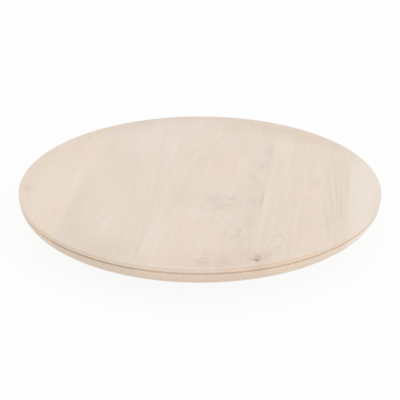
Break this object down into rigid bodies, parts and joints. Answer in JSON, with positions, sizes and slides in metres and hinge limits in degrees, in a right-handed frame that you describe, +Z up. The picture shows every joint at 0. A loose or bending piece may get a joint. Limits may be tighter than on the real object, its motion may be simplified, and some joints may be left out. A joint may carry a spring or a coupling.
{
  "type": "lazy susan turntable",
  "caption": "Round wooden serving turntable with a grooved rim and a quarter-round underside, spinning on a pressed-steel ball bearing over a smaller round base with rubber feet.",
  "frame": {"origin": "on the table under the middle of the base, on the spin axis", "axes": "+Z up along the spin axis, boards along Y"},
  "size_m": [0.4, 0.4, 0.048],
  "materials": {
    "top_wood": "pale whitewashed wood, satin",
    "base_wood": "pale wood, satin",
    "plate_steel": "zinc-plated pressed sheet",
    "ball_steel": "polished balls",
    "cage_steel": "plain stamped strip",
    "screw_steel": "bright zinc",
    "foot_rubber": "matt moulded rubber"
  },
  "bodies": {
    "base": {"base_board_1": "base_wood", "base_board_2": "base_wood", "base_board_3": "base_wood", "bearing_lower_plate": "plate_steel", "base_screws": "screw_steel", "foot_1": "foot_rubber", "foot_2": "foot_rubber", "foot_3": "foot_rubber", "foot_4": "foot_rubber", "foot_washers": "screw_steel", "foot_screws": "screw_steel"},
    "ball_ring": {"bearing_balls": "ball_steel", "ball_cage": "cage_steel"},
    "turntable": {"top_board_1": "top_wood", "top_board_2": "top_wood", "top_board_3": "top_wood", "top_board_4": "top_wood", "top_board_5": "top_wood", "bearing_upper_plate": "plate_steel", "top_screws": "screw_steel"}
  },
  "joints": [
    {"name": "turntable_spin", "type": "hinge", "parent": "base", "child": "turntable", "pos_m": [0, 0, 0.022], "axis": [0, 0, 1], "continuous": true},
    {"name": "ball_ring_orbit", "type": "hinge", "parent": "base", "child": "ball_ring", "pos_m": [0, 0, 0.022], "axis": [0, 0, 1], "continuous": true}
  ],
  "couplings": [
    {"joint": "ball_ring_orbit", "follows": "turntable_spin", "ratio": 0.5}
  ]
}
